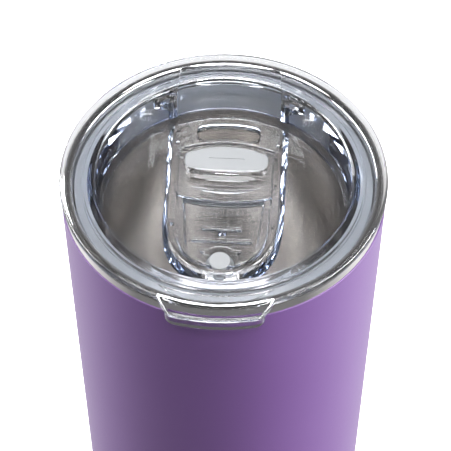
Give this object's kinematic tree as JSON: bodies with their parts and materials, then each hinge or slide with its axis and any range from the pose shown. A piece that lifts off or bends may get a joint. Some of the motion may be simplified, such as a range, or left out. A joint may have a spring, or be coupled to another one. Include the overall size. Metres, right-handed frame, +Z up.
{
  "type": "insulated tumbler with lid",
  "caption": "Tapered double-wall steel drinking tumbler with a clear press-in lid, whose slider uncovers a drink opening opposite its lift tab.",
  "frame": {"origin": "centre of the foot ring, on the surface it stands on", "axes": "+Z up along the cup's axis; +Y towards the drink opening; -Y towards the lid's lift tab; +X to the right as seen from the tab"},
  "size_m": [0.0898, 0.0949, 0.1746],
  "materials": {
    "coated_steel": "satin purple powder coat",
    "bare_steel": "polished lip, brushed inside",
    "base_steel": "brushed",
    "solder_glass": "solder glass bead",
    "getter_metal": "pressed metal powder",
    "foil": "bright foil",
    "clear_plastic": "clear polished copolyester",
    "clear_slider": "clear polished copolyester",
    "clear_silicone": "translucent silicone",
    "white_silicone": "translucent white silicone"
  },
  "bodies": {
    "cup": {"outer_shell": "coated_steel", "inner_liner": "bare_steel", "base_cup": "base_steel", "base_cover": "base_steel", "vacuum_plug": "solder_glass", "getter_holder": "base_steel", "getter_tablet": "getter_metal", "heat_foil": "foil"},
    "lid": {"lid_body": "clear_plastic", "lid_gasket": "clear_silicone"},
    "slider": {"slider": "clear_slider", "drink_seal": "white_silicone", "vent_seal": "white_silicone"}
  },
  "joints": [
    {"name": "lid_lift", "type": "slide", "parent": "cup", "child": "lid", "axis": [0, 0, 1], "range_m": [0, 0.06]},
    {"name": "slider_travel", "type": "slide", "parent": "lid", "child": "slider", "axis": [0, 1, 0], "range_m": [0, 0.012]}
  ]
}
